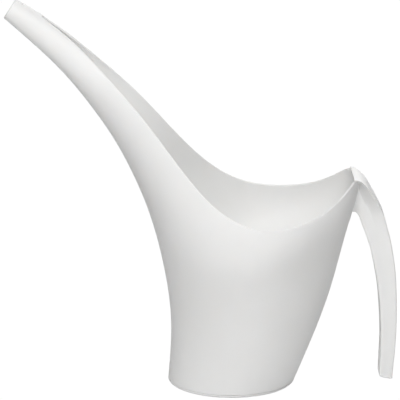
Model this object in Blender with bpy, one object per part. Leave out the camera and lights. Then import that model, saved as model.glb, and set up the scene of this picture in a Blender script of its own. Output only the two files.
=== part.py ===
"""Indoor watering can in white moulded plastic.

Metres, +Z up.  The origin is the centre of the round base on the table.  The
spout points along -X, the handle hangs on +X, and the can is the same on both
sides of the XZ plane.

The wall is described by stations that fan round from the round base to the
spout tip.  Each station is an ellipse seen from above its own plane: it starts
at a front point, ends at a back point, has a half width, and dips between its
two ends.  The mouth is where a curve drawn on the side view cuts that wall.
"""
import math

import bmesh
import bpy
import numpy as np
from mathutils import Vector

MM = 0.001

# ---------------------------------------------------------------- the wall
# front x, front z, back x, back z, half width, dip between the two ends, and how much
# the outline narrows toward the handle
WALL_STATIONS = [
    (-52.0, 0.0, 52.0, 0.0, 52.0, 0.0, 0.0),
    (-49.4, 48.0, 79.3, 72.0, 62.0, 6.0, 0.04),
    (-53.9, 90.5, 95.0, 132.0, 74.0, 14.0, 0.18),
    (-61.6, 125.5, 104.0, 177.0, 82.0, 25.0, 0.31),
    (-70.9, 154.5, 80.5, 213.0, 77.0, 18.0, 0.31),
    (-82.4, 180.9, 30.0, 238.0, 59.5, 9.0, 0.1),
    (-95.6, 205.4, -23.5, 255.0, 43.0, 3.0, 0.0),
    (-111.1, 228.4, -65.5, 269.5, 31.0, 0.0, 0.0),
    (-127.0, 249.0, -100.0, 277.8, 20.5, 0.0, 0.0),
    (-148.4, 272.0, -131.5, 293.6, 13.0, 0.0, 0.0),
    (-183.0, 303.5, -172.8, 318.6, 8.2, 0.0, 0.0),
]
TIP_STATION = 10.0
WALL = 2.0              # wall thickness
GAP = 0.3               # clearance where two pieces meet

# Side view of the rim: x, height.
RIM_CURVE = [
    (-155.0, 307.3), (-130.0, 288.3), (-100.0, 259.8), (-70.0, 227.5),
    (-40.0, 191.0), (-10.0, 161.7), (20.0, 148.5), (50.0, 148.5),
    (80.0, 159.6), (104.5, 179.3),
]
NOTCH_X = 98.3          # the rim steps down here to let the handle flange in
NOTCH_Z = 170.3

# ---------------------------------------------------------------- the base
FOOT_HEIGHT = 2.5       # visible height of the base disc
FOOT_RADIUS = 1.8       # rounding of the bottom edge
FLOOR_TOP = 2.4         # top of the floor inside the can
SPIGOT_TOP = 8.5        # the collar that stands up inside the wall
SPIGOT_INSET = 2.4
SPIGOT_WALL = 1.8

# ---------------------------------------------------------------- the spout
SPOUT_JOINT = 9.50      # station where the closed pouring tube starts
SLEEVE_BACK = 9.32      # how far its sleeve reaches back into the trough
SLEEVE_WALL = 1.0
SLEEVE_GAP = 0.6        # clearance of the sleeve inside the trough
LIP_SLOT_LENGTH = 9.5   # open slot at the very end of the tube
LIP_SLOT_WIDTH = 5.0
LIP_SLOT_DEPTH = 2.6

# ---------------------------------------------------------------- the handle
# outer face x, z; seam x, z; inner face x, z;
# half width of the outer face, of the seam and of the inner face
HANDLE_STATIONS = [
    (109.5, 168.8, 104.6, 161.5, 100.4, 145.2, 22.8, 10.5, 10.0),
    (113.4, 162.9, 106.9, 155.7, 102.4, 143.6, 21.0, 10.0, 9.6),
    (116.9, 157.2, 110.0, 151.0, 104.4, 140.2, 19.0, 10.0, 9.6),
    (120.1, 151.3, 113.0, 145.2, 106.6, 134.0, 16.8, 10.0, 9.8),
    (123.5, 144.6, 115.0, 140.0, 108.8, 128.5, 14.5, 10.2, 10.0),
    (126.3, 135.5, 117.2, 133.0, 111.2, 121.8, 12.5, 10.4, 10.2),
    (129.6, 123.0, 119.2, 121.5, 113.9, 113.5, 11.3, 10.6, 10.3),
    (132.2, 110.5, 121.4, 110.0, 116.1, 104.5, 11.0, 10.7, 10.4),
    (134.3, 96.5, 123.7, 96.5, 118.4, 93.5, 11.0, 10.7, 10.5),
    (135.6, 80.0, 126.2, 80.5, 120.7, 80.0, 11.0, 10.7, 10.5),
    (136.3, 60.5, 127.8, 61.0, 122.5, 61.0, 11.0, 10.7, 10.5),
    (136.1, 42.0, 128.4, 42.0, 123.5, 42.0, 11.0, 10.7, 10.5),
    (135.1, 24.0, 127.9, 24.0, 123.3, 24.0, 11.0, 10.7, 10.5),
    (133.9, 8.0, 127.2, 8.0, 122.8, 8.0, 10.8, 10.6, 10.4),
]
# the wide flange in front of the first handle station: face x, z; underside x, z; half width
FLANGE_FRONT = (98.6, 175.7, 98.6, 173.8, 25.0)
FLANGE_MIDDLE = (103.5, 174.1, 103.2, 172.1, 24.4)
FLANGE_BACK = (107.0, 171.3, 105.1, 166.3, 23.4, 14.0)
CHANNEL_ROOT = (99.8, 145.2, 104.8, 166.0, 10.5, 10.5)

HANDLE_WALL = 2.1
LAP_WALL = 0.85         # outer half of the lap joint between strap and channel
LAP_HEIGHT = 2.4
PLUG_TOP = 7.7
PLUG_BOTTOM = 2.6
PLUG_SLOPE = 0.2        # the end is cut at a slant, lowest at the outer face
ROOT_PEG_RADIUS = 3.0
ROOT_PEG_Z = 154.0
HOOK_HALF_WIDTH = 7.0
HOOK_DEPTH = 6.5

# ---------------------------------------------------------------- mesh density
SIDE_STEPS = 15         # points from front to back on one side of the wall
CLOSED_ROWS = 8
OPEN_ROWS = 27


def natural_spline(knots, values):
    """Return a function giving the natural cubic through the points."""
    knots = np.array(knots, float)
    values = np.array(values, float)
    count = len(knots)
    step = np.diff(knots)
    matrix = np.eye(count)
    right = np.zeros(count)
    for i in range(1, count - 1):
        matrix[i, i - 1] = step[i - 1]
        matrix[i, i] = 2.0 * (step[i - 1] + step[i])
        matrix[i, i + 1] = step[i]
        rise = (values[i + 1] - values[i]) / step[i]
        run = (values[i] - values[i - 1]) / step[i - 1]
        right[i] = 6.0 * (rise - run)
    bend = np.linalg.solve(matrix, right)

    def evaluate(x):
        i = int(np.clip(np.searchsorted(knots, x) - 1, 0, count - 2))
        h = step[i]
        a = (knots[i + 1] - x) / h
        b = (x - knots[i]) / h
        cubic = ((a ** 3 - a) * bend[i] + (b ** 3 - b) * bend[i + 1]) * h * h / 6.0
        return a * values[i] + b * values[i + 1] + cubic

    return evaluate


STATION_NUMBERS = list(range(len(WALL_STATIONS)))
WALL_SPLINES = [
    natural_spline(STATION_NUMBERS, [row[k] for row in WALL_STATIONS])
    for k in range(7)
]
RIM_SPLINE = natural_spline([p[0] for p in RIM_CURVE], [p[1] for p in RIM_CURVE])


def wall_point(station, angle):
    """Outer surface of the wall; angle 0 is the front, pi the back."""
    fx, fz, bx, bz, half, dip, narrow = [spline(station) for spline in WALL_SPLINES]
    rear = max(0.0, -math.cos(angle))
    half *= 1.0 - narrow * rear ** 2 * (1.0 - rear ** 4)
    u = 0.5 * (1.0 - math.cos(angle))
    x = fx + u * (bx - fx)
    z = fz + u * (bz - fz) - 4.0 * dip * u * (1.0 - u)
    return Vector((x, half * math.sin(angle), z))


def wall_normal(station, angle):
    """Outward direction of the wall."""
    step = 0.004
    along = wall_point(station + step, angle) - wall_point(station - step, angle)
    around = wall_point(station, angle + step) - wall_point(station, angle - step)
    normal = along.cross(around)
    return normal.normalized()


def inset_point(station, angle, depth):
    """A point under the outer surface."""
    return wall_point(station, angle) - wall_normal(station, angle) * depth


def solve(function, low, high):
    """Root of a rising function by halving the range."""
    for _ in range(60):
        middle = 0.5 * (low + high)
        if function(middle) < 0.0:
            low = middle
        else:
            high = middle
    return 0.5 * (low + high)


def station_at_height(angle, height):
    """Station where the wall reaches a height low on the vessel."""
    return solve(lambda s: wall_point(s, angle).z - height, -0.5, 1.0)


def side_height(station, x):
    """Height of a station's curve above a given x in the side view."""
    fx, fz, bx, bz, _, dip, _ = [spline(station) for spline in WALL_SPLINES]
    u = (x - fx) / (bx - fx)
    return fz + u * (bz - fz) - 4.0 * dip * u * (1.0 - u)


def rim_place(x, height):
    """Station and angle of the wall point seen at (x, height) from the side."""
    station = solve(lambda s: side_height(s, x) - height, 2.0, TIP_STATION)
    fx = WALL_SPLINES[0](station)
    bx = WALL_SPLINES[2](station)
    u = min(max((x - fx) / (bx - fx), 0.0), 1.0)
    return station, math.acos(1.0 - 2.0 * u)


def back_station():
    """Station where the back of the wall reaches the notch."""
    return solve(lambda s: wall_point(s, math.pi).z - NOTCH_Z, 2.0, 3.2)


def rim_places():
    """Rim from the back to the spout joint, evenly spaced along its length."""
    places = [(back_station(), math.pi)]
    back_x = WALL_SPLINES[2](places[0][0])
    for x in np.linspace(back_x - 0.6, NOTCH_X + 0.2, 4):
        places.append(rim_place(x, NOTCH_Z))
    joint = joint_place()
    joint_x = wall_point(*joint).x
    dense = [rim_place(x, RIM_SPLINE(x)) for x in np.linspace(NOTCH_X, joint_x, 400)]
    points = [wall_point(*place) for place in dense]
    length = np.concatenate([[0.0], np.cumsum([(b - a).length
                             for a, b in zip(points, points[1:])])])
    for target in np.linspace(0.0, length[-1], OPEN_ROWS - 4):
        places.append(dense[int(np.argmin(np.abs(length - target)))])
    places[-1] = joint
    return places


def joint_place():
    """Angle at which the rim passes the spout joint."""
    def above(angle):
        point = wall_point(SPOUT_JOINT, angle)
        return point.z - RIM_SPLINE(point.x)
    return SPOUT_JOINT, solve(above, 0.5 * math.pi, math.pi)


def wall_rows():
    """Rows of (station, angle) that cover the wall.

    Closed rows go right round.  Open rows stop at the rim on both sides.
    """
    rows = []
    back = back_station()
    front_start = 2.42
    for t in np.linspace(0.0, 1.0, CLOSED_ROWS):
        row = []
        for j in range(2 * SIDE_STEPS):
            angle = -math.pi + math.pi * j / SIDE_STEPS
            low = station_at_height(abs(angle), FOOT_HEIGHT + GAP)
            share = (abs(angle) / math.pi) ** 1.5
            high = front_start + (back - front_start) * share
            row.append((low + (high - low) * t, angle))
        rows.append(row)
    for i, (end_station, end_angle) in enumerate(rim_places()[1:]):
        lag = 0.36 * max(0.0, 1.0 - (i + 1.0) / 13.0)
        front = end_station - lag
        row = []
        for j in range(2 * SIDE_STEPS + 1):
            q = (j - SIDE_STEPS) / SIDE_STEPS
            station = front + (end_station - front) * abs(q) ** 1.5
            row.append((station, end_angle * q))
        rows.append(row)
    return rows


# ---------------------------------------------------------------- mesh helpers
def new_object(name, bm, smooth=True):
    """Write the mesh, outward facing and in metres, to a new object."""
    bmesh.ops.remove_doubles(bm, verts=bm.verts, dist=1e-4)
    bmesh.ops.recalc_face_normals(bm, faces=bm.faces)
    bmesh.ops.scale(bm, vec=(MM, MM, MM), verts=bm.verts)
    mesh = bpy.data.meshes.new(name)
    bm.to_mesh(mesh)
    bm.free()
    for polygon in mesh.polygons:
        polygon.use_smooth = smooth
    mesh.materials.append(plastic(name))
    obj = bpy.data.objects.new(name, mesh)
    bpy.context.scene.collection.objects.link(obj)
    return obj


def plastic(name):
    """Matt white plastic."""
    material = bpy.data.materials.new(name + "_plastic")
    material.use_nodes = True
    shader = material.node_tree.nodes["Principled BSDF"]
    shader.inputs["Base Color"].default_value = (0.86, 0.86, 0.84, 1.0)
    shader.inputs["Roughness"].default_value = 0.42
    return material


def bridge(bm, first, second, closed=True):
    """Quads between two loops of the same length."""
    count = len(first)
    last = count if closed else count - 1
    for i in range(last):
        j = (i + 1) % count
        corners = [first[i], first[j], second[j], second[i]]
        unique = list(dict.fromkeys(corners))
        if len(unique) > 2:
            bm.faces.new(unique)


def add_loop(bm, points):
    """New vertices at the points."""
    return [bm.verts.new(point) for point in points]


def loft(loops, ends):
    """Skin of closed loops; ends is 'caps' or 'joined'."""
    bm = bmesh.new()
    rings = [add_loop(bm, loop) for loop in loops]
    for first, second in zip(rings, rings[1:]):
        bridge(bm, first, second)
    if ends == "joined":
        bridge(bm, rings[-1], rings[0])
    else:
        bm.faces.new(rings[0][::-1])
        bm.faces.new(rings[-1])
    return bm


def box(name, low, high):
    """A plain block between two corners, in millimetres."""
    bm = bmesh.new()
    bmesh.ops.create_cube(bm, size=1.0)
    for vert in bm.verts:
        for axis in range(3):
            middle = 0.5 * (low[axis] + high[axis])
            vert.co[axis] = middle + vert.co[axis] * (high[axis] - low[axis])
    return new_object(name, bm, smooth=False)


def rod(name, start, end, radius):
    """A round bar between two points, in millimetres."""
    bm = bmesh.new()
    axis = Vector(end) - Vector(start)
    bmesh.ops.create_cone(bm, cap_ends=True, segments=20, radius1=radius,
                          radius2=radius, depth=axis.length)
    turn = Vector((0.0, 0.0, 1.0)).rotation_difference(axis).to_matrix()
    middle = 0.5 * (Vector(start) + Vector(end))
    bmesh.ops.rotate(bm, cent=(0.0, 0.0, 0.0), matrix=turn, verts=bm.verts)
    bmesh.ops.translate(bm, vec=middle, verts=bm.verts)
    return new_object(name, bm, smooth=False)


def combine(target, tool, operation):
    """Apply one exact boolean and drop the tool."""
    tool.hide_render = True
    tool.display_type = "WIRE"
    modifier = target.modifiers.new(operation.lower(), "BOOLEAN")
    modifier.operation = operation
    modifier.solver = "EXACT"
    modifier.object = tool
    graph = bpy.context.evaluated_depsgraph_get()
    mesh = bpy.data.meshes.new_from_object(target.evaluated_get(graph))
    target.modifiers.clear()
    old = target.data
    target.data = mesh
    bpy.data.meshes.remove(old)
    mesh.name = target.name
    bpy.data.objects.remove(tool)


# ---------------------------------------------------------------- the pieces
def build_vessel():
    """The thin wall, from just above the foot up to the rim and spout joint."""
    bm = bmesh.new()
    rows = wall_rows()
    outer = []
    inner = []
    for row in rows:
        outer.append(add_loop(bm, [wall_point(s, a) for s, a in row]))
        inner.append(add_loop(bm, [inset_point(s, a, WALL) for s, a in row]))
    for i in range(len(rows) - 1):
        for grid in (outer, inner):
            first, second = grid[i], grid[i + 1]
            closed = len(first) == len(second) == 2 * SIDE_STEPS
            if len(first) != len(second):
                first = first + [first[0]]
            bridge(bm, first, second, closed)
    bridge(bm, outer[0], inner[0])
    bridge(bm, outer[-1], inner[-1], closed=False)
    for side in (0, -1):
        edge_out = [outer[CLOSED_ROWS - 1][0]] + [row[side] for row in outer[CLOSED_ROWS:]]
        edge_in = [inner[CLOSED_ROWS - 1][0]] + [row[side] for row in inner[CLOSED_ROWS:]]
        bridge(bm, edge_out, edge_in, closed=False)
    vessel = new_object("vessel_body", bm)
    hole = rod("peg_hole", (92.0, 0.0, ROOT_PEG_Z), (112.0, 0.0, ROOT_PEG_Z),
               ROOT_PEG_RADIUS + GAP)
    combine(vessel, hole, "DIFFERENCE")
    return vessel


def level_ring(height, inset):
    """A level loop of the wall outline, moved in toward its centre."""
    ring = []
    for j in range(2 * SIDE_STEPS):
        angle = -math.pi + math.pi * j / SIDE_STEPS
        point = wall_point(station_at_height(abs(angle), height), angle)
        point.z = height
        ring.append(point)
    centre_x = 0.5 * (max(p.x for p in ring) + min(p.x for p in ring))
    centre = Vector((centre_x, 0.0, height))
    return [p + (centre - p).normalized() * inset for p in ring]


def build_base():
    """Floor, foot edge and the collar that stands inside the wall."""
    loops = []
    for step in range(5):
        turn = 0.5 * math.pi * step / 4.0
        inset = FOOT_RADIUS * (1.0 - math.sin(turn))
        height = FOOT_RADIUS * (1.0 - math.cos(turn))
        loops.append(level_ring(height, inset))
    loops.append(level_ring(FOOT_HEIGHT, 0.0))
    loops.append(level_ring(FOOT_HEIGHT, SPIGOT_INSET))
    loops.append(level_ring(SPIGOT_TOP - 0.6, SPIGOT_INSET))
    loops.append(level_ring(SPIGOT_TOP, SPIGOT_INSET + 0.5))
    loops.append(level_ring(SPIGOT_TOP, SPIGOT_INSET + SPIGOT_WALL))
    loops.append(level_ring(FLOOR_TOP + 1.5, SPIGOT_INSET + SPIGOT_WALL))
    loops.append(level_ring(FLOOR_TOP + 0.4, SPIGOT_INSET + SPIGOT_WALL + 0.4))
    loops.append(level_ring(FLOOR_TOP, SPIGOT_INSET + SPIGOT_WALL + 1.5))
    return new_object("base_disc", loft(loops, "caps"))


def tube_ring(station, depth):
    """Full loop of the pouring tube at one station and depth below its skin."""
    ring = []
    for j in range(24):
        angle = -math.pi + 2.0 * math.pi * j / 24
        ring.append(inset_point(station, angle, depth))
    return ring


def build_spout_tip():
    """The closed pouring tube with a sleeve that plugs into the trough."""
    start = SPOUT_JOINT + 0.008
    loops = []
    for station in np.linspace(TIP_STATION, start, 8):
        loops.append(tube_ring(station, 0.0))
    loops.append(tube_ring(start, WALL + SLEEVE_GAP))
    loops.append(tube_ring(SLEEVE_BACK + 0.02, WALL + SLEEVE_GAP))
    loops.append(tube_ring(SLEEVE_BACK, WALL + SLEEVE_GAP + 0.25))
    loops.append(tube_ring(SLEEVE_BACK, WALL + SLEEVE_GAP + SLEEVE_WALL))
    loops.append(tube_ring(start + 0.04, WALL + SLEEVE_GAP + SLEEVE_WALL))
    for station in np.linspace(start + 0.14, TIP_STATION, 6):
        loops.append(tube_ring(station, WALL))
    tip = new_object("spout_tip", loft(loops, "joined"))
    combine(tip, lip_slot_cutter(), "DIFFERENCE")
    return tip


def lip_slot_cutter():
    """Block that opens the top of the tube at its very end."""
    top_end = wall_point(TIP_STATION, math.pi)
    top_back = wall_point(TIP_STATION - 0.25, math.pi)
    bottom_end = wall_point(TIP_STATION, 0.0)
    along = (top_back - top_end).normalized()
    up = (top_end - bottom_end).normalized()
    half = 0.5 * LIP_SLOT_WIDTH
    corners = []
    for reach, side in ((-4.0, -half), (LIP_SLOT_LENGTH - 2.0, -half),
                        (LIP_SLOT_LENGTH, -half + 1.5), (LIP_SLOT_LENGTH, half - 1.5),
                        (LIP_SLOT_LENGTH - 2.0, half), (-4.0, half)):
        corners.append(top_end + along * reach + Vector((0.0, side, 0.0)))
    low = [corner - up * LIP_SLOT_DEPTH for corner in corners]
    high = [corner + up * 6.0 for corner in corners]
    return new_object("lip_slot_cutter", loft([low, high], "caps"), smooth=False)


def side_vector(a, b):
    """Unit direction from one side-view point to another."""
    return Vector((b[0] - a[0], 0.0, b[1] - a[1])).normalized()


def place_profile(origin, direction, profile):
    """Put (distance, half width) pairs and their mirror images in space."""
    base = Vector((origin[0], 0.0, origin[1]))
    right = [base + direction * p + Vector((0.0, y, 0.0)) for p, y in profile]
    left = [base + direction * p - Vector((0.0, y, 0.0)) for p, y in profile]
    return right + left[::-1]


def channel_profile(depth, inner_half, seam_half):
    """Half outline of the inner half of the handle, from face to face."""
    wall = HANDLE_WALL
    lap = seam_half - LAP_WALL - GAP
    return [
        (0.0, 4.0), (0.0, inner_half - 1.6), (0.5, inner_half - 0.5),
        (1.6, inner_half), (depth, seam_half), (depth, lap),
        (depth + LAP_HEIGHT - GAP, lap), (depth + LAP_HEIGHT - GAP, seam_half - wall),
        (depth, seam_half - wall), (wall, inner_half - wall), (wall, 4.0),
    ]


def strap_profile(height, outer_half, seam_half):
    """Half outline of the outer half of the handle, from the seam outward."""
    wall = HANDLE_WALL
    flare = (outer_half - seam_half) / height
    step = LAP_HEIGHT + GAP
    return [
        (height, 4.0), (height, outer_half - 1.6), (height - 0.5, outer_half - 0.5),
        (height - 1.6, outer_half - 1.6 * flare),
        (GAP, seam_half), (GAP, seam_half - LAP_WALL),
        (LAP_HEIGHT, seam_half - LAP_WALL + LAP_HEIGHT * flare * 0.5),
        (step, seam_half - wall + step * flare * 0.5),
        (height - wall, max(outer_half - wall - wall * flare, 4.6)),
        (height - wall, 4.0),
    ]


def build_channel():
    """Inner half of the handle with its root against the back wall."""
    loops = []
    ix, iz, sx, sz, inner_half, seam_half = CHANNEL_ROOT
    first = ((ix, iz), (sx, sz), inner_half, seam_half)
    rows = [first]
    for row in HANDLE_STATIONS:
        rows.append(((row[4], row[5]), (row[2], row[3]), row[8], row[7]))
    for inner, seam, inner_half, seam_half in rows:
        depth = math.hypot(seam[0] - inner[0], seam[1] - inner[1])
        profile = channel_profile(depth, inner_half, seam_half)
        loops.append(place_profile(inner, side_vector(inner, seam), profile))
    channel = new_object("handle_channel", loft(loops, "caps"))
    block = box("root_block", (103.1, -9.0, 150.5), (105.3, 9.0, 157.2))
    combine(channel, block, "UNION")
    peg = rod("root_peg", (98.9, 0.0, ROOT_PEG_Z), (104.2, 0.0, ROOT_PEG_Z),
              ROOT_PEG_RADIUS)
    combine(channel, peg, "UNION")
    return channel


def build_strap():
    """Outer half of the handle with the wide flange that meets the rim."""
    loops = []
    fx, fz, ux, uz, half = FLANGE_FRONT
    thin = math.hypot(fx - ux, fz - uz)
    loops.append(flange_loop((ux, uz), (fx, fz), thin, half))
    fx, fz, ux, uz, half = FLANGE_MIDDLE
    thin = math.hypot(fx - ux, fz - uz)
    loops.append(flange_loop((ux, uz), (fx, fz), thin, half))
    fx, fz, sx, sz, half, seam_half = FLANGE_BACK
    height = math.hypot(fx - sx, fz - sz)
    profile = strap_profile(height, half, seam_half)
    loops.append(place_profile((sx, sz), side_vector((sx, sz), (fx, fz)), profile))
    for row in HANDLE_STATIONS:
        seam = (row[2], row[3])
        face = (row[0], row[1])
        height = math.hypot(face[0] - seam[0], face[1] - seam[1])
        profile = strap_profile(height, row[6], row[7])
        loops.append(place_profile(seam, side_vector(seam, face), profile))
    strap = new_object("handle_strap", loft(loops, "caps"))
    hook = box("rim_hook", (99.7, -HOOK_HALF_WIDTH, 174.1 - HOOK_DEPTH),
               (100.7, HOOK_HALF_WIDTH, 174.2))
    combine(strap, hook, "UNION")
    return strap


def flange_loop(under, face, thin, half):
    """Outline of the thin flange with the same point count as the strap."""
    profile = [
        (thin, 4.0), (thin, half - 1.6), (thin - 0.3, half - 0.5),
        (thin - 0.8, half), (0.25, half), (0.0, half - 0.4),
        (0.0, half - 1.5), (0.0, half - 3.0), (0.0, 6.0), (0.0, 4.0),
    ]
    return place_profile(under, side_vector(under, face), profile)


def rounded_ring(x_low, x_high, half, z, radius, slope=0.0):
    """Rectangle with rounded corners; slope lifts its inner side."""
    points = []
    corners = (
        (x_high - radius, half - radius, 0.0),
        (x_low + radius, half - radius, 90.0),
        (x_low + radius, -half + radius, 180.0),
        (x_high - radius, -half + radius, 270.0),
    )
    for cx, cy, start in corners:
        for step in range(4):
            turn = math.radians(start + 30.0 * step)
            x = cx + radius * math.cos(turn)
            y = cy + radius * math.sin(turn)
            points.append(Vector((x, y, z + slope * (x_high - x))))
    return points


def build_plug():
    """End plug of the hollow handle."""
    loops = [
        rounded_ring(123.8, 132.6, 9.4, PLUG_BOTTOM, 1.2, PLUG_SLOPE),
        rounded_ring(123.0, 133.5, 10.3, PLUG_BOTTOM + 1.0, 1.6, PLUG_SLOPE),
        rounded_ring(122.8, 133.9, 10.6, PLUG_TOP, 1.6),
        rounded_ring(125.4, 131.2, 7.7, PLUG_TOP, 0.8),
        rounded_ring(125.6, 131.0, 7.5, PLUG_TOP + 6.5, 0.8),
    ]
    return new_object("handle_end_plug", loft(loops, "caps"))


def main():
    for obj in list(bpy.data.objects):
        bpy.data.objects.remove(obj)
    build_vessel()
    build_base()
    build_spout_tip()
    build_channel()
    build_strap()
    build_plug()


main()
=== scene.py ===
"""Look of the moulded plastic watering can, on a plain pale floor.

Sizes are in millimetres in the constants and in the surface functions, and new_piece
turns them into metres.  The wall is described by stations that fan round from the
round base to the spout tip, and the rim is where a curve drawn on the side view cuts
that wall.  The handle is two lofts, an inner and an outer half, that share a seam.
"""

import math

import bmesh
import bpy
import numpy as np
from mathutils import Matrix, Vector


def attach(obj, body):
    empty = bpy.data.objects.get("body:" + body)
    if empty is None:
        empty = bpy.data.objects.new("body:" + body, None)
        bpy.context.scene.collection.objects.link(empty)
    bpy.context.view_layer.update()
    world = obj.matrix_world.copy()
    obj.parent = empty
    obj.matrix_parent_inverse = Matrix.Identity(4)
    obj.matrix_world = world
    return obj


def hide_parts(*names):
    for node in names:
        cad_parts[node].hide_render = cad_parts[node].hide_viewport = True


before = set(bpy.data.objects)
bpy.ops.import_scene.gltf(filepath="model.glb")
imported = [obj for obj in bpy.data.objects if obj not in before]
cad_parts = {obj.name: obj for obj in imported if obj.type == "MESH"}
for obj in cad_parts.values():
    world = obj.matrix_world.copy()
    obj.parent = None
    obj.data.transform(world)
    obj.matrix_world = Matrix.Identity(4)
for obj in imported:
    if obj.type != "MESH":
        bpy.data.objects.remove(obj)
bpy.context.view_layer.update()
MM = 0.001

# ---------------------------------------------------------------- the wall
# front x, front z, back x, back z, half width, dip between the two ends, and how much
# the outline narrows toward the handle
WALL_STATIONS = [
    (-52.0, 0.0, 52.0, 0.0, 52.0, 0.0, 0.0),
    (-49.4, 48.0, 79.3, 72.0, 62.0, 6.0, 0.04),
    (-53.9, 90.5, 95.0, 132.0, 74.0, 14.0, 0.18),
    (-61.6, 125.5, 104.0, 177.0, 82.0, 25.0, 0.31),
    (-70.9, 154.5, 80.5, 213.0, 77.0, 18.0, 0.31),
    (-82.4, 180.9, 30.0, 238.0, 59.5, 9.0, 0.1),
    (-95.6, 205.4, -23.5, 255.0, 43.0, 3.0, 0.0),
    (-111.1, 228.4, -65.5, 269.5, 31.0, 0.0, 0.0),
    (-127.0, 249.0, -100.0, 277.8, 20.5, 0.0, 0.0),
    (-148.4, 272.0, -131.5, 293.6, 13.0, 0.0, 0.0),
    (-183.0, 303.5, -172.8, 318.6, 8.2, 0.0, 0.0),
]
TIP = 10.0              # last station
WALL = 2.0              # wall thickness
SEAM = 0.3              # visible line between the wall and the foot

# side view of the rim: x, height
RIM_CURVE = [
    (-155.0, 307.3), (-130.0, 288.3), (-100.0, 259.8), (-70.0, 227.5),
    (-40.0, 191.0), (-10.0, 161.7), (20.0, 148.5), (50.0, 148.5),
    (80.0, 159.6), (104.5, 179.3),
]
FLANGE_X = 98.3         # behind this the rim runs inside the handle flange
FLANGE_INSIDE = 174.6   # height of that hidden rim where the flange starts
FLANGE_FALL = 0.34      # and its slope toward the handle
LIP_ROUND = 0.9         # height of the rounding of the rim
LIP_STEPS = 10
FRONT_START = 2.42      # station where the front of the closed rows ends

# ---------------------------------------------------------------- the base
FOOT_HEIGHT = 2.5
FOOT_RADIUS = 1.9       # rounding of the bottom edge
FLOOR_TOP = 2.4
FLOOR_FILLET = 2.0      # rounding between the floor and the collar
SPIGOT_TOP = 8.5        # the collar that stands up inside the wall
SPIGOT_INSET = 2.4
SPIGOT_WALL = 1.8

# ---------------------------------------------------------------- the spout
SPOUT_JOINT = 9.50      # station where the closed pouring tube starts
JOINT_HAIRLINE = 0.0006
TUBE_ROWS = 26
TUBE_SIDES = 64
TUBE_END = 0.02         # length of the rounding of the tube's end, in stations
SLOT_HALF_WIDTH = 2.5   # open slot at the very end of the tube
SLOT_STRAIGHT = 7.3
SLOT_ROUND = 2.2
SLOT_DEPTH = 2.6
SLOT_OVERRUN = 4.0      # how far the cutter reaches past the end
SLOT_ABOVE = 6.0

# ---------------------------------------------------------------- the handle
# outer face x, z; seam x, z; inner face x, z; half widths at those three
HANDLE_STATIONS = [
    (109.5, 168.8, 104.6, 161.5, 100.4, 145.2, 22.8, 10.5, 10.0),
    (113.4, 162.9, 106.9, 155.7, 102.4, 143.6, 21.0, 10.0, 9.6),
    (116.9, 157.2, 110.0, 151.0, 104.4, 140.2, 19.0, 10.0, 9.6),
    (120.1, 151.3, 113.0, 145.2, 106.6, 134.0, 16.8, 10.0, 9.8),
    (123.5, 144.6, 115.0, 140.0, 108.8, 128.5, 14.5, 10.2, 10.0),
    (126.3, 135.5, 117.2, 133.0, 111.2, 121.8, 12.5, 10.4, 10.2),
    (129.6, 123.0, 119.2, 121.5, 113.9, 113.5, 11.3, 10.6, 10.3),
    (132.2, 110.5, 121.4, 110.0, 116.1, 104.5, 11.0, 10.7, 10.4),
    (134.3, 96.5, 123.7, 96.5, 118.4, 93.5, 11.0, 10.7, 10.5),
    (135.6, 80.0, 126.2, 80.5, 120.7, 80.0, 11.0, 10.7, 10.5),
    (136.3, 60.5, 127.8, 61.0, 122.5, 61.0, 11.0, 10.7, 10.5),
    (136.1, 42.0, 128.4, 42.0, 123.5, 42.0, 11.0, 10.7, 10.5),
    (135.1, 24.0, 127.9, 24.0, 123.3, 24.0, 11.0, 10.7, 10.5),
    (133.9, 8.0, 127.2, 8.0, 122.8, 8.0, 10.8, 10.6, 10.4),
]
# the wide flange in front of them: face x, z; underside x, z; half widths at those two
FLANGE_STATIONS = [
    (98.6, 175.7, 98.6, 173.8, 25.0, 24.6),
    (103.3, 174.1, 101.6, 172.1, 24.4, 19.5),
    (107.0, 171.3, 102.9, 166.8, 23.4, 11.5),
]
# where the inner half meets the wall: inner face x, z; seam x, z; half widths at those two
CHANNEL_ROOT = (98.2, 145.2, 102.9, 166.8, 10.5, 11.5)
HANDLE_WALL = 2.1
STRAP_EDGE = 1.7        # rounding of the outer face's edges
STRAP_FALL = 1.25       # how late the sides of the strap spread toward its face
STRAP_ROWS = 150
CHANNEL_EDGE = 1.5      # rounding of the inner face's edges
CHANNEL_ROWS = 130

# ---------------------------------------------------------------- mesh density
SIDE_STEPS = 44         # points from front to back on one side of the wall
CLOSED_ROWS = 34
RIM_SPACING = 2.6
SHARP_EDGE = math.radians(38.0)


def natural_spline(knots, values):
    """Natural cubic through the points, for arrays of places."""
    knots = np.array(knots, float)
    values = np.array(values, float)
    count = len(knots)
    step = np.diff(knots)
    matrix = np.eye(count)
    right = np.zeros(count)
    for i in range(1, count - 1):
        matrix[i, i - 1] = step[i - 1]
        matrix[i, i] = 2.0 * (step[i - 1] + step[i])
        matrix[i, i + 1] = step[i]
        right[i] = 6.0 * ((values[i + 1] - values[i]) / step[i]
                          - (values[i] - values[i - 1]) / step[i - 1])
    bend = np.linalg.solve(matrix, right)

    def evaluate(x):
        x = np.asarray(x, float)
        i = np.clip(np.searchsorted(knots, x) - 1, 0, count - 2)
        h = step[i]
        a = (knots[i + 1] - x) / h
        b = (x - knots[i]) / h
        cubic = ((a ** 3 - a) * bend[i] + (b ** 3 - b) * bend[i + 1]) * h * h / 6.0
        return a * values[i] + b * values[i + 1] + cubic

    return evaluate


WALL_SPLINES = [
    natural_spline(range(len(WALL_STATIONS)), [row[k] for row in WALL_STATIONS])
    for k in range(7)
]
RIM_SPLINE = natural_spline([p[0] for p in RIM_CURVE], [p[1] for p in RIM_CURVE])


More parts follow.
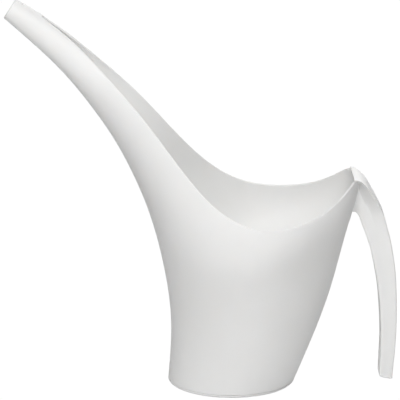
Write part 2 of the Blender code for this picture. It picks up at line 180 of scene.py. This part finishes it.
def wall_points(station, angle):
    """Outer surface of the wall; angle 0 is the front, pi the back."""
    fx, fz, bx, bz, half, dip, narrow = [spline(station) for spline in WALL_SPLINES]
    rear = np.maximum(0.0, -np.cos(angle))
    half = half * (1.0 - narrow * rear ** 2 * (1.0 - rear ** 4))
    u = 0.5 * (1.0 - np.cos(angle))
    x = fx + u * (bx - fx)
    z = fz + u * (bz - fz) - 4.0 * dip * u * (1.0 - u)
    return np.stack(np.broadcast_arrays(x, half * np.sin(angle), z), -1)


def unit(v):
    """Vectors of length one."""
    return v / np.linalg.norm(v, axis=-1, keepdims=True)


def wall_normals(station, angle):
    """Outward directions of the wall."""
    step = 0.004
    along = wall_points(station + step, angle) - wall_points(station - step, angle)
    around = wall_points(station, angle + step) - wall_points(station, angle - step)
    return unit(np.cross(along, around))


def inset(station, angle, depth):
    """Points under the outer surface."""
    station, angle = np.broadcast_arrays(np.asarray(station, float), angle)
    return wall_points(station, angle) - wall_normals(station, angle) * depth


def solve(function, low, high):
    """Roots of rising functions by halving the ranges."""
    low, high = np.array(low, float), np.array(high, float)
    for _ in range(50):
        middle = 0.5 * (low + high)
        below = function(middle) < 0.0
        low = np.where(below, middle, low)
        high = np.where(below, high, middle)
    return 0.5 * (low + high)


def station_at_height(angle, height):
    """Stations where the wall reaches a height low on the vessel."""
    angle = np.asarray(angle, float)
    return solve(lambda s: wall_points(s, angle)[..., 2] - height,
                 np.full(angle.shape, -0.5), np.full(angle.shape, 1.0))


def side_height(station, x):
    """Height of a station's curve above a given x in the side view."""
    fx, fz, bx, bz, _, dip, _ = [spline(station) for spline in WALL_SPLINES]
    u = (x - fx) / (bx - fx)
    return fz + u * (bz - fz) - 4.0 * dip * u * (1.0 - u)


def rim_height(x):
    """Height of the rim; near the handle it runs inside the flange."""
    inside = FLANGE_INSIDE - FLANGE_FALL * (x - FLANGE_X)
    return np.where(x > FLANGE_X, np.minimum(inside, RIM_SPLINE(x)), RIM_SPLINE(x))


def rim_place(x):
    """Stations and angles of the rim points above x in the side view."""
    x = np.asarray(x, float)
    height = rim_height(x)
    station = solve(lambda s: side_height(s, x) - height,
                    np.full(x.shape, 2.0), np.full(x.shape, TIP))
    fx, bx = WALL_SPLINES[0](station), WALL_SPLINES[2](station)
    u = np.clip((x - fx) / (bx - fx), 0.0, 1.0)
    return station, np.arccos(1.0 - 2.0 * u)


def back_station():
    """Station where the back of the wall meets the flange."""
    def above(s):
        point = wall_points(s, math.pi)
        return point[..., 2] - rim_height(point[..., 0])
    return float(solve(above, 2.0, 3.2))


def joint_angle():
    """Angle at which the rim passes the spout joint."""
    def above(angle):
        point = wall_points(SPOUT_JOINT, angle)
        return point[..., 2] - RIM_SPLINE(point[..., 0])
    return float(solve(above, 0.5 * math.pi, math.pi))


def rim_path():
    """Evenly spaced rim places from the back centre to the spout joint."""
    back = back_station()
    back_x = float(wall_points(back, math.pi)[0])
    joint_x = float(wall_points(SPOUT_JOINT, joint_angle())[0])
    share = np.linspace(0.0, 1.0, 6000) ** 2
    x = back_x - 1e-4 + (joint_x - back_x) * share
    station, angle = rim_place(x)
    station[0], angle[0] = back, math.pi
    station[-1], angle[-1] = SPOUT_JOINT, joint_angle()
    points = wall_points(station, angle)
    length = np.concatenate([[0.0], np.cumsum(np.linalg.norm(np.diff(points, axis=0), axis=1))])
    count = int(length[-1] / RIM_SPACING)
    target = np.linspace(0.0, length[-1], count + 1)
    return np.interp(target, length, station), np.interp(target, length, angle), target


def rim_frame(station, angle):
    """Direction down the wall, square to the rim."""
    points = wall_points(station, angle)
    before = points[1:2] * (1.0, -1.0, 1.0)
    after = 2 * points[-1:] - points[-2:-1]
    mirrored = np.concatenate([before, points, after])
    tangent = unit(mirrored[2:] - mirrored[:-2])
    down = unit(np.cross(tangent, wall_normals(station, angle)))
    if down[0, 2] > 0.0:
        down = -down
    return down


def move_down(station, angle, down, reach):
    """Places a short way down the wall."""
    step = 0.002
    along = (wall_points(station + step, angle) - wall_points(station - step, angle)) / (2 * step)
    around = (wall_points(station, angle + step) - wall_points(station, angle - step)) / (2 * step)
    new_station, new_angle = station.copy(), angle.copy()
    for i in range(len(station)):
        basis = np.stack([along[i], around[i]], 1)
        move = np.linalg.lstsq(basis, down[i] * reach, rcond=None)[0]
        new_station[i] += move[0]
        new_angle[i] += move[1]
    new_angle[0] = math.pi
    return new_station, new_angle


def wall_rows(station, angle, length):
    """Rows of (stations, angles) that cover the wall up to the rim."""
    rows = []
    around = -math.pi + math.pi * np.arange(2 * SIDE_STEPS) / SIDE_STEPS
    low = station_at_height(np.abs(around), FOOT_HEIGHT + SEAM)
    share = (np.abs(around) / math.pi) ** 1.5
    high = FRONT_START + (station[0] - FRONT_START) * share
    for t in np.linspace(0.0, 1.0, CLOSED_ROWS):
        rows.append((low + (high - low) * t, around))
    q = np.arange(-SIDE_STEPS, SIDE_STEPS + 1) / SIDE_STEPS
    for end, end_angle, run in zip(station[1:], angle[1:], length[1:]):
        lag = 0.36 * max(0.0, 1.0 - run / 160.0)
        front = end - lag
        rows.append((front + (end - front) * np.abs(q) ** 1.5, end_angle * q))
    return rows


# ---------------------------------------------------------------- mesh helpers
def new_piece(name, bm, node, material):
    """Write a mesh in metres as a piece that stands for a CAD node."""
    bmesh.ops.remove_doubles(bm, verts=bm.verts, dist=1e-4)
    bmesh.ops.recalc_face_normals(bm, faces=bm.faces)
    bmesh.ops.scale(bm, vec=(MM, MM, MM), verts=bm.verts)
    mesh = bpy.data.meshes.new(name)
    bm.to_mesh(mesh)
    bm.free()
    mesh.shade_smooth()
    mesh.set_sharp_from_angle(angle=SHARP_EDGE)
    mesh.materials.append(material)
    obj = bpy.data.objects.new(name, mesh)
    bpy.context.scene.collection.objects.link(obj)
    if node:
        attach(obj, "root")
        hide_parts(node)
    return obj


def verts(bm, points):
    """New vertices at the points."""
    return [bm.verts.new(tuple(float(c) for c in p)) for p in points]


def bridge(bm, first, second, closed=True):
    """Quads between two loops of the same length."""
    count = len(first)
    for i in range(count if closed else count - 1):
        j = (i + 1) % count
        corners = list(dict.fromkeys([first[i], first[j], second[j], second[i]]))
        if len(corners) > 2:
            bm.faces.new(corners)


def loft(loops, ends):
    """Skin of closed loops; ends is 'caps' or 'joined'."""
    bm = bmesh.new()
    rings = [verts(bm, loop) for loop in loops]
    for first, second in zip(rings, rings[1:]):
        bridge(bm, first, second)
    if ends == "joined":
        bridge(bm, rings[-1], rings[0])
    else:
        bm.faces.new(rings[0][::-1])
        bm.faces.new(rings[-1])
    return bm


def combine(target, tool, operation):
    """Apply one exact boolean and drop the tool."""
    tool.hide_render = True
    modifier = target.modifiers.new(operation.lower(), "BOOLEAN")
    modifier.operation = operation
    modifier.solver = "EXACT"
    modifier.object = tool
    graph = bpy.context.evaluated_depsgraph_get()
    mesh = bpy.data.meshes.new_from_object(target.evaluated_get(graph))
    target.modifiers.clear()
    target.data = mesh
    bpy.data.objects.remove(tool)


# ---------------------------------------------------------------- the pieces
def build_wall(material):
    """The thin wall with its softly rounded rim."""
    station, angle, length = rim_path()
    down = rim_frame(station, angle)
    low_station, low_angle = move_down(station, angle, down, LIP_ROUND)
    low_station[-1] = SPOUT_JOINT
    rows = wall_rows(low_station, low_angle, length)
    bm = bmesh.new()
    outer = [verts(bm, wall_points(s, a)) for s, a in rows]
    inner = [verts(bm, inset(s, a, WALL)) for s, a in rows]
    for grid in (outer, inner):
        for first, second in zip(grid, grid[1:]):
            closed = len(first) == len(second) == 2 * SIDE_STEPS
            if len(first) != len(second):
                first = first + [first[0]]
            bridge(bm, first, second, closed)
    bridge(bm, outer[0], inner[0])
    build_lip(bm, outer, inner, down)
    bmesh.ops.holes_fill(bm, edges=[e for e in bm.edges if e.is_boundary], sides=0)
    return new_piece("vessel_wall", bm, "vessel_body", material)


def build_lip(bm, outer, inner, down):
    """Rounded edge that joins the outer and the inner wall along the rim."""
    for side, sign in ((0, 1.0), (-1, -1.0)):
        edge_out = [outer[CLOSED_ROWS - 1][0]] + [row[side] for row in outer[CLOSED_ROWS:]]
        edge_in = [inner[CLOSED_ROWS - 1][0]] + [row[side] for row in inner[CLOSED_ROWS:]]
        up = -down * (1.0, -sign, 1.0)
        last = edge_out
        for k in range(1, LIP_STEPS):
            turn = math.pi * k / LIP_STEPS
            c = math.copysign(abs(math.cos(turn)) ** 0.75, math.cos(turn))
            s = math.sin(turn) ** 0.75
            points = []
            for a, b, u in zip(edge_out, edge_in, up):
                middle, half = 0.5 * (a.co + b.co), 0.5 * (a.co - b.co)
                points.append(middle + half * c + Vector(u) * (LIP_ROUND * s))
            loop = verts(bm, points)
            bridge(bm, last, loop, closed=False)
            last = loop
        bridge(bm, last, edge_in, closed=False)


def level_ring(height, depth):
    """A level loop of the wall outline, moved in toward its centre."""
    angle = -math.pi + math.pi * np.arange(128) / 64
    ring = wall_points(station_at_height(np.abs(angle), height), angle)
    ring[:, 2] = height
    centre = np.array((0.5 * (ring[:, 0].max() + ring[:, 0].min()), 0.0, height))
    return ring + unit(centre - ring) * depth


def build_base(material):
    """Foot edge, floor and the collar that stands inside the wall."""
    loops = [level_ring(0.0, FOOT_RADIUS + 6.0)]
    for step in range(9):
        turn = 0.5 * math.pi * step / 8.0
        loops.append(level_ring(FOOT_RADIUS * (1.0 - math.cos(turn)),
                                FOOT_RADIUS * (1.0 - math.sin(turn))))
    collar_inside = SPIGOT_INSET + SPIGOT_WALL
    loops.append(level_ring(FOOT_HEIGHT - 0.25, 0.0))
    loops.append(level_ring(FOOT_HEIGHT, 0.25))
    loops.append(level_ring(FOOT_HEIGHT, SPIGOT_INSET))
    loops.append(level_ring(SPIGOT_TOP - 0.6, SPIGOT_INSET))
    loops.append(level_ring(SPIGOT_TOP - 0.2, SPIGOT_INSET + 0.15))
    loops.append(level_ring(SPIGOT_TOP, SPIGOT_INSET + 0.5))
    loops.append(level_ring(SPIGOT_TOP, collar_inside - 0.4))
    loops.append(level_ring(SPIGOT_TOP - 0.4, collar_inside))
    for step in range(7):
        turn = 0.5 * math.pi * step / 6.0
        loops.append(level_ring(FLOOR_TOP + FLOOR_FILLET * (1.0 - math.sin(turn)),
                                collar_inside + FLOOR_FILLET * (1.0 - math.cos(turn))))
    loops.append(level_ring(FLOOR_TOP, collar_inside + 8.0))
    return new_piece("base_foot", loft(loops, "caps"), "base_disc", material)


def tube_ring(station, depth):
    """Full loop of the pouring tube at one station and depth below its skin."""
    angle = -math.pi + 2.0 * math.pi * np.arange(TUBE_SIDES) / TUBE_SIDES
    return inset(np.full(TUBE_SIDES, station), angle, depth)


def build_tube(material):
    """The closed pouring tube with its slotted end."""
    stations = np.linspace(SPOUT_JOINT + JOINT_HAIRLINE, TIP - TUBE_END, TUBE_ROWS)
    loops = [tube_ring(s, 0.0) for s in stations]
    for step in range(1, 8):
        turn = math.pi * step / 8.0
        depth = 0.5 * WALL * (1.0 - math.cos(turn))
        loops.append(tube_ring(TIP - TUBE_END * (1.0 - math.sin(turn) ** 0.8), depth))
    loops += [tube_ring(s, WALL) for s in stations[::-1]]
    tube = new_piece("spout_tube", loft(loops, "joined"), "spout_tip",
                     material)
    combine(tube, slot_cutter(material), "DIFFERENCE")
    tube.data.set_sharp_from_angle(angle=SHARP_EDGE)
    return tube


def slot_cutter(material):
    """Block that opens the top of the tube at its very end."""
    top_end, top_back = wall_points(TIP, math.pi), wall_points(TIP - 0.25, math.pi)
    bottom_end = wall_points(TIP, 0.0)
    along, up = unit(top_back - top_end), unit(top_end - bottom_end)
    outline = [(-SLOT_OVERRUN, -SLOT_HALF_WIDTH), (SLOT_STRAIGHT, -SLOT_HALF_WIDTH)]
    for k in range(1, 12):
        turn = -0.5 * math.pi + math.pi * k / 12.0
        outline.append((SLOT_STRAIGHT + SLOT_ROUND * math.cos(turn),
                        SLOT_HALF_WIDTH * math.sin(turn)))
    outline += [(SLOT_STRAIGHT, SLOT_HALF_WIDTH), (-SLOT_OVERRUN, SLOT_HALF_WIDTH)]
    side = np.array((0.0, 1.0, 0.0))
    corners = [top_end + along * reach + side * y for reach, y in outline]
    low = [point - up * SLOT_DEPTH for point in corners]
    high = [point + up * SLOT_ABOVE for point in corners]
    return new_piece("slot_cutter", loft([low, high], "caps"), None, material)


def resample(rows, count):
    """Rows blended smoothly along the run of their first two columns."""
    rows = np.array(rows, float)
    run = np.concatenate([[0.0], np.cumsum(np.linalg.norm(np.diff(rows[:, :2], axis=0), axis=1))])
    place = np.linspace(0.0, run[-1], count)
    return np.stack([natural_spline(run, rows[:, k])(place) for k in range(rows.shape[1])], 1)


def place_profile(origin, outward, profile):
    """Put (distance, half width) pairs and their mirror images in space."""
    base = np.array((origin[0], 0.0, origin[1]))
    right = [base + outward * p + np.array((0.0, y, 0.0)) for p, y in profile]
    left = [base + outward * p - np.array((0.0, y, 0.0)) for p, y in profile]
    return right + left[::-1]


def direction(a, b):
    """Unit direction from one side-view point to another."""
    return unit(np.array((b[0] - a[0], 0.0, b[1] - a[1])))


def corner(p0, y0, p1, y1, p2, y2, steps=5):
    """Points round a corner from 0 to 2 with the sharp point at 1."""
    points = []
    for k in range(steps + 1):
        t = k / steps
        a, b, c = (1 - t) ** 2, 2 * t * (1 - t), t * t
        points.append((a * p0 + b * p1 + c * p2, a * y0 + b * y1 + c * y2))
    return points


def strap_profile(height, outer, seam):
    """Half outline of the outer half of the handle, from the face to the seam and inside."""
    edge = min(STRAP_EDGE, 0.42 * height)
    points = [(height, 0.0), (height, 0.35 * outer), (height, 0.7 * outer)]
    side = []
    for k in range(15):
        t = k / 14.0
        reach = t * (height - edge)
        side.append((reach, seam + (outer - seam) * (reach / height) ** STRAP_FALL))
    top = side[-1]
    points += corner(height, outer - edge, height, outer, top[0], top[1], 6)
    points += side[-2::-1]
    points += [(0.0, seam - HANDLE_WALL)]
    inner = max(outer - HANDLE_WALL - 1.0, 4.6)
    lid = max(height - HANDLE_WALL, 0.6)
    points += [(lid, min(seam - HANDLE_WALL, inner)), (lid, 0.0)]
    return points


def channel_profile(depth, inner, seam):
    """Half outline of the inner half of the handle, from face to seam."""
    edge = CHANNEL_EDGE
    points = [(0.0, 0.0), (0.0, 0.5 * inner)]
    points += corner(0.0, inner - edge, 0.0, inner, edge, inner + 0.03, 6)
    points += [(0.5 * (edge + depth), 0.5 * (inner + seam)), (depth, seam)]
    points += [(depth, seam - HANDLE_WALL), (HANDLE_WALL, inner - HANDLE_WALL)]
    points += [(HANDLE_WALL, 0.0)]
    return points


def build_channel(material):
    """Inner half of the handle with its root against the back wall."""
    ix, iz, sx, sz, inner_half, seam_half = CHANNEL_ROOT
    rows = [(ix, iz, sx, sz, inner_half, seam_half)]
    rows += [(r[4], r[5], r[2], r[3], r[8], r[7]) for r in HANDLE_STATIONS]
    loops = []
    for ix, iz, sx, sz, inner_half, seam_half in resample(rows, CHANNEL_ROWS):
        depth = math.hypot(sx - ix, sz - iz)
        profile = channel_profile(depth, inner_half, seam_half)
        loops.append(place_profile((ix, iz), direction((ix, iz), (sx, sz)), profile))
    return new_piece("handle_inner_half", loft(loops, "caps"), "handle_channel",
                     material)


def build_strap(material):
    """Outer half of the handle with the wide flange that meets the rim."""
    rows = list(FLANGE_STATIONS)
    rows += [(r[0], r[1], r[2], r[3], r[6], r[7]) for r in HANDLE_STATIONS]
    loops = []
    for fx, fz, sx, sz, half, seam_half in resample(rows, STRAP_ROWS):
        height = math.hypot(fx - sx, fz - sz)
        profile = strap_profile(height, half, seam_half)
        loops.append(place_profile((sx, sz), direction((sx, sz), (fx, fz)), profile))
    return new_piece("handle_outer_half", loft(loops, "caps"), "handle_strap",
                     material)


def rounded_ring(x_low, x_high, half, z, radius, slope=0.0):
    """Rectangle with rounded corners; slope lifts its inner side."""
    points = []
    corners = ((x_high - radius, half - radius, 0.0), (x_low + radius, half - radius, 90.0),
               (x_low + radius, -half + radius, 180.0), (x_high - radius, -half + radius, 270.0))
    for cx, cy, start in corners:
        for step in range(9):
            turn = math.radians(start + 90.0 * step / 8.0)
            x = cx + radius * math.cos(turn)
            points.append((x, cy + radius * math.sin(turn), z + slope * (x_high - x)))
    return points


def build_plug(material):
    """End plug of the hollow handle."""
    loops = []
    for k in range(7):
        turn = 0.5 * math.pi * k / 6.0
        inward = 1.2 * (1.0 - math.sin(turn))
        z = 2.6 + 1.1 * (1.0 - math.cos(turn))
        loops.append(rounded_ring(122.85 + inward, 133.7 - inward, 10.45 - inward, z, 1.6, 0.2))
    loops.append(rounded_ring(122.8, 133.9, 10.6, 8.0, 1.6))
    loops.append(rounded_ring(125.4, 131.2, 7.7, 8.0, 0.8))
    loops.append(rounded_ring(125.6, 131.0, 7.5, 14.2, 0.8))
    return new_piece("handle_plug", loft(loops, "caps"), "handle_end_plug",
                     material)


# ---------------------------------------------------------------- the material
def link_noise(tree, coordinates, scale, detail, location):
    """Noise texture in object space."""
    mapping = tree.nodes.new("ShaderNodeMapping")
    mapping.inputs["Location"].default_value = location
    tree.links.new(coordinates, mapping.inputs["Vector"])
    noise = tree.nodes.new("ShaderNodeTexNoise")
    noise.inputs["Scale"].default_value = scale
    noise.inputs["Detail"].default_value = detail
    tree.links.new(mapping.outputs["Vector"], noise.inputs["Vector"])
    return noise.outputs["Fac"]


def spread(tree, value, low, high):
    """Map a noise value to a range."""
    node = tree.nodes.new("ShaderNodeMapRange")
    node.inputs["From Min"].default_value = 0.3
    node.inputs["From Max"].default_value = 0.7
    node.inputs["To Min"].default_value = low
    node.inputs["To Max"].default_value = high
    tree.links.new(value, node.inputs["Value"])
    return node.outputs["Result"]


def moulded_plastic(name, location):
    """Satin off-white polypropylene with a fine moulded grain."""
    material = bpy.data.materials.new(name)
    material.use_nodes = True
    tree = material.node_tree
    shader = tree.nodes["Principled BSDF"]
    coordinates = tree.nodes.new("ShaderNodeTexCoord").outputs["Object"]
    clouds = link_noise(tree, coordinates, 14.0, 3.0, location)
    grain = link_noise(tree, coordinates, 900.0, 2.0, location)
    swell = link_noise(tree, coordinates, 45.0, 1.0, location)
    ramp = tree.nodes.new("ShaderNodeValToRGB")
    ramp.color_ramp.elements[0].position = 0.3
    ramp.color_ramp.elements[1].position = 0.7
    ramp.color_ramp.elements[0].color = (0.808, 0.806, 0.797, 1.0)
    ramp.color_ramp.elements[1].color = (0.832, 0.831, 0.825, 1.0)
    tree.links.new(clouds, ramp.inputs["Fac"])
    tree.links.new(ramp.outputs["Color"], shader.inputs["Base Color"])
    tree.links.new(spread(tree, clouds, 0.54, 0.64), shader.inputs["Roughness"])
    fine = tree.nodes.new("ShaderNodeBump")
    fine.inputs["Strength"].default_value = 0.12
    fine.inputs["Distance"].default_value = 0.00006
    tree.links.new(grain, fine.inputs["Height"])
    broad = tree.nodes.new("ShaderNodeBump")
    broad.inputs["Strength"].default_value = 0.25
    broad.inputs["Distance"].default_value = 0.00012
    tree.links.new(swell, broad.inputs["Height"])
    tree.links.new(broad.outputs["Normal"], fine.inputs["Normal"])
    tree.links.new(fine.outputs["Normal"], shader.inputs["Normal"])
    shader.inputs["Subsurface Weight"].default_value = 0.15
    shader.inputs["Subsurface Radius"].default_value = (1.0, 0.9, 0.8)
    shader.inputs["Subsurface Scale"].default_value = 0.002
    shader.inputs["IOR"].default_value = 1.49
    shader.inputs["Specular IOR Level"].default_value = 0.4
    return material


# ---------------------------------------------------------------- the stage
# name, azimuth from the front toward the handle side, elevation, watts
LIGHTS = [
    ("front", 0.0, 35.0, 18.5),
    ("top", 0.0, 65.0, 6.4),
    ("front_left", -35.0, 40.0, 6.2),
    ("left", -110.0, 50.0, 3.4),
    ("right", 110.0, 50.0, 1.0),
    ("back_right", 150.0, 25.0, 17.0),
    ("back", 180.0, 50.0, 2.0),
]
LIGHT_DISTANCE = 1.8
LIGHT_SIZE = 1.0
LIGHT_TARGET = Vector((0.0, 0.0, 0.16))
WORLD_LIGHT = 0.01      # what the surroundings add to the lamps
PAPER_WHITE = 1.02      # how bright the floor and the surroundings look themselves

CAMERA_TARGET_X = -0.0255424
CAMERA_TARGET_Z = 0.1529125
CAMERA_DISTANCE = 1.937255
CAMERA_TILT = math.radians(13.9107)


def area_light(name, azimuth, elevation, power):
    """Soft box at a bearing round the can, aimed at it."""
    data = bpy.data.lights.new(name, "AREA")
    data.shape = "DISK"
    data.size = LIGHT_SIZE
    data.energy = power
    obj = bpy.data.objects.new(name, data)
    a, e = math.radians(azimuth), math.radians(elevation)
    back = Vector((math.sin(a) * math.cos(e), -math.cos(a) * math.cos(e), math.sin(e)))
    obj.location = LIGHT_TARGET + back * LIGHT_DISTANCE
    obj.rotation_mode = "QUATERNION"
    obj.rotation_quaternion = (-back).to_track_quat("-Z", "Y")
    bpy.context.scene.collection.objects.link(obj)


def build_floor():
    """Plain pale floor that reads as white paper and lights the can as grey paper does."""
    mesh = bpy.data.meshes.new("floor")
    reach = 12.0
    signs = ((-1, -1), (1, -1), (1, 1), (-1, 1))
    corners = [(reach * x, reach * y, 0.0) for x, y in signs]
    mesh.from_pydata(corners, [], [(0, 1, 2, 3)])
    material = bpy.data.materials.new("floor_paper")
    material.use_nodes = True
    tree = material.node_tree
    shader = tree.nodes["Principled BSDF"]
    shader.inputs["Base Color"].default_value = (0.8, 0.8, 0.8, 1.0)
    shader.inputs["Roughness"].default_value = 0.9
    glow = tree.nodes.new("ShaderNodeEmission")
    glow.inputs["Strength"].default_value = PAPER_WHITE
    path = tree.nodes.new("ShaderNodeLightPath")
    mix = tree.nodes.new("ShaderNodeMixShader")
    tree.links.new(path.outputs["Is Camera Ray"], mix.inputs["Fac"])
    tree.links.new(shader.outputs["BSDF"], mix.inputs[1])
    tree.links.new(glow.outputs["Emission"], mix.inputs[2])
    tree.links.new(mix.outputs["Shader"], tree.nodes["Material Output"].inputs["Surface"])
    mesh.materials.append(material)
    floor = bpy.data.objects.new("floor", mesh)
    bpy.context.scene.collection.objects.link(floor)


def build_world():
    """White to look at, soft grey to light with."""
    world = bpy.data.worlds.new("studio")
    world.use_nodes = True
    tree = world.node_tree
    tree.nodes.clear()
    path = tree.nodes.new("ShaderNodeLightPath")
    seen = tree.nodes.new("ShaderNodeBackground")
    seen.inputs["Color"].default_value = (1.0, 1.0, 1.0, 1.0)
    seen.inputs["Strength"].default_value = PAPER_WHITE
    lit = tree.nodes.new("ShaderNodeBackground")
    lit.inputs["Color"].default_value = (1.0, 1.0, 1.0, 1.0)
    lit.inputs["Strength"].default_value = WORLD_LIGHT
    mix = tree.nodes.new("ShaderNodeMixShader")
    out = tree.nodes.new("ShaderNodeOutputWorld")
    tree.links.new(path.outputs["Is Camera Ray"], mix.inputs["Fac"])
    tree.links.new(lit.outputs["Background"], mix.inputs[1])
    tree.links.new(seen.outputs["Background"], mix.inputs[2])
    tree.links.new(mix.outputs["Shader"], out.inputs["Surface"])
    bpy.context.scene.world = world


def build_camera():
    """Side view from a little above."""
    data = bpy.data.cameras.new("camera")
    data.sensor_width = 36.0
    data.lens = 213.535
    data.clip_start = 0.05
    data.clip_end = 100.0
    camera = bpy.data.objects.new("camera", data)
    camera.location = (
        CAMERA_TARGET_X,
        -CAMERA_DISTANCE * math.cos(CAMERA_TILT),
        CAMERA_TARGET_Z + CAMERA_DISTANCE * math.sin(CAMERA_TILT),
    )
    camera.rotation_euler = (0.5 * math.pi - CAMERA_TILT, 0.0, 0.0)
    bpy.context.scene.collection.objects.link(camera)
    bpy.context.scene.camera = camera


def main():
    """Pieces, stage, lights and camera."""
    scene = bpy.context.scene
    scene.view_settings.view_transform = "Standard"
    build_wall(moulded_plastic("vessel_plastic_look", (0.0, 0.0, 0.0)))
    build_base(moulded_plastic("base_plastic_look", (0.3, 0.1, 0.2)))
    build_tube(moulded_plastic("spout_tip_plastic_look", (0.0, 0.0, 0.0)))
    build_channel(moulded_plastic("handle_channel_plastic_look", (0.5, 0.4, 0.1)))
    build_strap(moulded_plastic("handle_strap_plastic_look", (0.2, 0.7, 0.6)))
    build_plug(moulded_plastic("plug_plastic_look", (0.9, 0.2, 0.4)))
    build_floor()
    build_world()
    for light in LIGHTS:
        area_light(*light)
    build_camera()


main()
